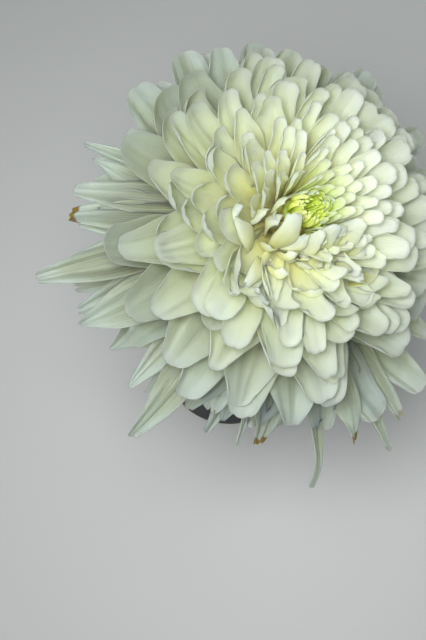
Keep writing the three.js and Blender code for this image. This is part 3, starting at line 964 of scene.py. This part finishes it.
def ridgedStalk():
    line = stemLine(stem["steps"])
    headings = np.gradient(line, axis=0)
    headings /= norm(headings, axis=1)[:, None]
    azimuth = roundAngles(stem["sides"])
    grown = stem["radius"] + stem["ridge"] * np.cos(stem["ridges"] * azimuth)
    rings = []
    for centre, heading in zip(line, headings):
        first = np.array([1.0, 0, 0]) - heading * heading[0]
        first /= norm(first)
        second = np.cross(heading, first)
        outward = np.cos(azimuth)[:, None] * first + np.sin(azimuth)[:, None] * second
        rings.append(centre + grown[:, None] * outward)
    points = np.concatenate(rings + [line[:1], line[-1:]])
    around = np.tile(np.arange(stem["sides"]), len(line)) * (2 * pi * stem["streaks"] / stem["sides"])
    pale = np.repeat(1 - smooth(0, 0.04, np.linspace(0, 1, len(line))), stem["sides"])
    traits = {"skinAround": np.append(around, [0, 0]), "skinPale": np.append(pale, [1, 0])}
    return points, loftFaces(len(line), stem["sides"]), traits


def ribbedCup():
    def relief(azimuth, height):
        return calyx["rib"] * np.cos(calyx["ribs"] * azimuth) * smooth(-25, -14, height)

    heights = np.linspace(calyx["bottom"], calyx["top"], calyx["rings"])
    profile = [(0, calyx["bottom"])] + [(calyxRadius(z), z) for z in heights] + [(0, calyx["top"])]
    points, faces = turnedSolid(profile, calyx["sides"], relief)
    traits = {"skinAround": np.zeros(len(points)), "skinPale": np.full(len(points), 0.25)}
    return toRow(points), faces, traits


leafy = {"bow": 16, "curl": -14, "cup": 0.5, "taper": 0.5, "wave": 0.15}
leafy.update({"roll": 0, "hood": 0, "notch": 0, "rag": 0})


# A small leaf under the flower, pale along its edges
def smallLeaf(row, k):
    bracts = bractRows[row]
    index = starts["bract"] + 20 * row + k
    azimuth = 360 * (k + 0.5 * row) / bracts["count"] + 4 * swing(index, 1)
    radius = calyxRadius(bracts["height"])
    root = (radius - 2, bracts["height"])
    tip = (radius + 0.6 * bracts["length"], bracts["height"] + 0.72 * bracts["length"])
    drift = 0.6 * swing(index, 2)
    bract = makePetal(index, 90, azimuth, bracts["width"], root, tip, drift=drift, **leafy)
    points, faces, traits = petalMesh(bract, petalSheet(bract, *grids["bract"]))
    across = traits["petalAcross"]
    rim = smooth(0.55, 1.0, np.abs(across) / (bracts["width"] / 2))
    return toRow(points), faces, {"skinAround": across * 4, "skinPale": 0.75 * rim}


def addStem():
    parts = [ridgedStalk(), ribbedCup()]
    parts += [smallLeaf(row, k) for row, bracts in enumerate(bractRows) for k in range(bracts["count"])]
    points, faces, traits = joined(parts)
    addPiece("leafyStem", points * mm, faces, greenSurface(), "stem", traits)


print("stem")
addStem()

# Vase and water

vase = {
    "height": 118, "footRadius": 25, "mouthRadius": 34, "wall": 3.6, "floor": 6, "corner": 3,
    "bevel": 1.2, "sides": 144, "turningMark": 3.4, "markDepth": 0.10, "wornLip": 1.2,
    "wornFoot": 2.2,
}
water = {
    "depth": 86, "gap": 0.3, "wallGap": 0.08, "stemGap": 0.1, "footGap": 0.2, "meniscus": 0.9,
    "wallCurve": 1.6, "stemCurve": 1.2, "sides": 96,
}


def vaseRadius(height):
    share = np.sin(pi / 2 * height / vase["height"])
    return vase["footRadius"] + (vase["mouthRadius"] - vase["footRadius"]) * share


def arc(centre, radius, start, end, steps):
    angles = np.radians(np.linspace(start, end, steps))
    return [(centre[0] + radius * cos(a), centre[1] + radius * sin(a)) for a in angles]


def addVase():
    lip = vase["wall"] / 2
    lipHeight = vase["height"] - lip
    bevel = vase["bevel"]
    corner = vase["corner"]
    foot = arc((vaseRadius(0) - bevel, bevel), bevel, -90, 0, 6)
    outside = [(vaseRadius(z), z) for z in np.linspace(2 * bevel, lipHeight, 110)]
    rounded = arc((vaseRadius(lipHeight) - lip, lipHeight), lip, 12, 168, 11)
    inside = [(vaseRadius(z) - vase["wall"], z) for z in np.linspace(lipHeight, vase["floor"] + corner, 60)]
    bottom = arc((inside[-1][0] - corner, vase["floor"] + corner), corner, 0, -90, 8)
    profile = [(0, 0)] + foot + outside + rounded + inside + bottom[1:] + [(0, vase["floor"])]

    def turningMarks(azimuth, height):
        window = smooth(3, 12, height) * (1 - smooth(vase["height"] - 12, vase["height"] - 4, height))
        turns = 2 * pi * height / vase["turningMark"]
        ripple = np.sin(turns + azimuth) + 0.5 * np.sin(0.37 * turns + 2 * azimuth)
        return vase["markDepth"] * window * ripple

    points, faces = turnedSolid(profile, vase["sides"], turningMarks)
    radii = np.hypot(points[:, 0], points[:, 1])
    heights = points[:, 2]
    wornLip = smooth(vase["height"] - vase["wornLip"], vase["height"], heights)
    worn = np.maximum(wornLip, 1 - smooth(0.3, vase["wornFoot"], heights))
    worn = worn * (radii > vase["footRadius"] - 3 * bevel)
    addPiece("turnedVase", points * mm, faces, stonewareSurface(), "vase", {"worn": worn})


# Rings from the bottom's middle, up the vase's wall, in over the surface and down the stem's hole
def addWater():
    bottom = vase["floor"] + water["gap"]
    surface = bottom + water["depth"]
    wall = vase["wall"] + water["wallGap"]
    hole = stem["radius"] + stem["ridge"] + water["stemGap"]
    lowerStem = stemLine(400)[:200]
    azimuth = roundAngles(water["sides"])
    circle = np.stack([np.cos(azimuth), np.sin(azimuth)], -1)

    def stemAt(height):
        return np.array([np.interp(height, lowerStem[:, 2], lowerStem[:, k]) for k in (0, 1)])

    def ring(centre, radius, height):
        flat = centre + radius * circle
        return np.column_stack([flat, np.full(len(flat), height)])

    rings = [ring(np.zeros(2), vaseRadius(bottom) - wall - vase["corner"], bottom)]
    for height in np.linspace(bottom + vase["corner"], surface, 24):
        rings.append(ring(np.zeros(2), vaseRadius(height) - wall, height))
    outerEdge = rings[-1]
    innerEdge = ring(stemAt(surface), hole, surface)
    for share in np.linspace(0, 1, 40)[1:]:
        flat = outerEdge * (1 - share) + innerEdge * share
        fromWall = 1 - np.exp(-norm(flat - outerEdge, axis=1) / water["wallCurve"])
        fromStem = 1 - np.exp(-norm(flat - innerEdge, axis=1) / water["stemCurve"])
        flat[:, 2] = surface - water["meniscus"] * fromWall * fromStem
        rings.append(flat)
    for height in np.linspace(surface, stem["foot"][2] - water["footGap"], 30)[1:]:
        rings.append(ring(stemAt(height), hole, height))
    last = rings[-1].mean(axis=0)
    points = np.concatenate(rings + [[(0, 0, bottom)], [last]])
    faces = loftFaces(len(rings), water["sides"])
    addPiece("vaseWater", points * mm, faces, waterSurface(), "water", {})


print("vase and water")
addVase()
addWater()

# Camera, floor and light

view = {"elevation": 58, "lens": 85, "sensor": 36, "pixel": 0.30, "imageWidth": 426, "imageHeight": 640}
# The pixel that the middle of the dome lies on
domeInPicture = (269, 223)


def addCamera():
    tilt = radians(view["elevation"])
    right = Vector((1, 0, 0))
    up = Vector((0, sin(tilt), cos(tilt)))
    near = Vector((0, -cos(tilt), sin(tilt)))
    pixel = view["pixel"] * mm
    distance = view["imageHeight"] * pixel / view["sensor"] * view["lens"]
    centre = Vector(flower["centre"]) * mm
    aim = centre - right * (domeInPicture[0] - view["imageWidth"] / 2) * pixel
    aim = aim - up * (view["imageHeight"] / 2 - domeInPicture[1]) * pixel
    lens = bpy.data.cameras.new("camera")
    lens.lens = view["lens"]
    lens.sensor_width = view["sensor"]
    camera = addObject("camera", lens)
    turn = Matrix((right, up, near)).transposed().to_4x4()
    camera.matrix_world = Matrix.Translation(aim + near * distance) @ turn
    bpy.context.scene.camera = camera
    return centre, (near, right, up)


floorLook = {
    "reach": 3.0,
    "finish": {"Roughness": 0.85, "Specular IOR Level": 0.2},
    "face": [(0.3, 204, 205, 205), (0.7, 210, 211, 211)],
    "cloudScale": 3.0,
}


def addFloor():
    reach = floorLook["reach"]
    corners = [(-reach, -reach, 0), (reach, -reach, 0), (reach, reach, 0), (-reach, reach, 0)]
    mesh = bpy.data.meshes.new("floor")
    mesh.from_pydata(corners, [], [(0, 1, 2, 3)])
    s = Surface("paleFloor", floorLook["finish"])
    s.feed("Base Color", s.ramp(s.noise(floorLook["cloudScale"]), floorLook["face"]))
    mesh.materials.append(s.material)
    floor = addObject("floor", mesh)


# Each lamp's place, aim, size, power and spread. Place and aim are metres from the dome's middle, towards
# the camera, to its right and up. Those of the back light are along X, Y and Z.
lamps = {
    "keyLight": ((0.42, -0.06, 0), (0, -0.010, -0.006), 0.17, 0.35, 68),
    "fillLight": ((0.7, -0.6, -0.2), (0, 0, 0), 0.9, 1.3, 180),
    "backLight": ((0.5, 0.9, 0), (0, 0, -0.08), 0.9, 1.8, 180),
}
sky = {"colour": (0.93, 1.0, 0.96, 1.0), "strength": 0.29}


def addLight(name, centre, axes):
    def stepped(steps):
        place = centre
        for axis, step in zip(axes, steps):
            place = place + axis * step
        return place

    place, aim, size, power, spread = lamps[name]
    lamp = bpy.data.lights.new(name, "AREA")
    lamp.shape = "DISK"
    lamp.size = size
    lamp.energy = power
    lamp.spread = radians(spread)
    light = addObject(name, lamp)
    light.location = stepped(place)
    light.rotation_euler = (stepped(aim) - stepped(place)).to_track_quat("-Z", "Y").to_euler()


print("camera, floor and light")
centre, cameraAxes = addCamera()
addFloor()
addLight("keyLight", centre, cameraAxes)
addLight("fillLight", centre, cameraAxes)
addLight("backLight", centre, Matrix.Identity(3))
world = bpy.data.worlds.new("studio")
world.use_nodes = True
light = world.node_tree.nodes["Background"].inputs
light["Color"].default_value = sky["colour"]
light["Strength"].default_value = sky["strength"]
bpy.context.scene.world = world
bpy.context.scene.view_settings.view_transform = "Standard"
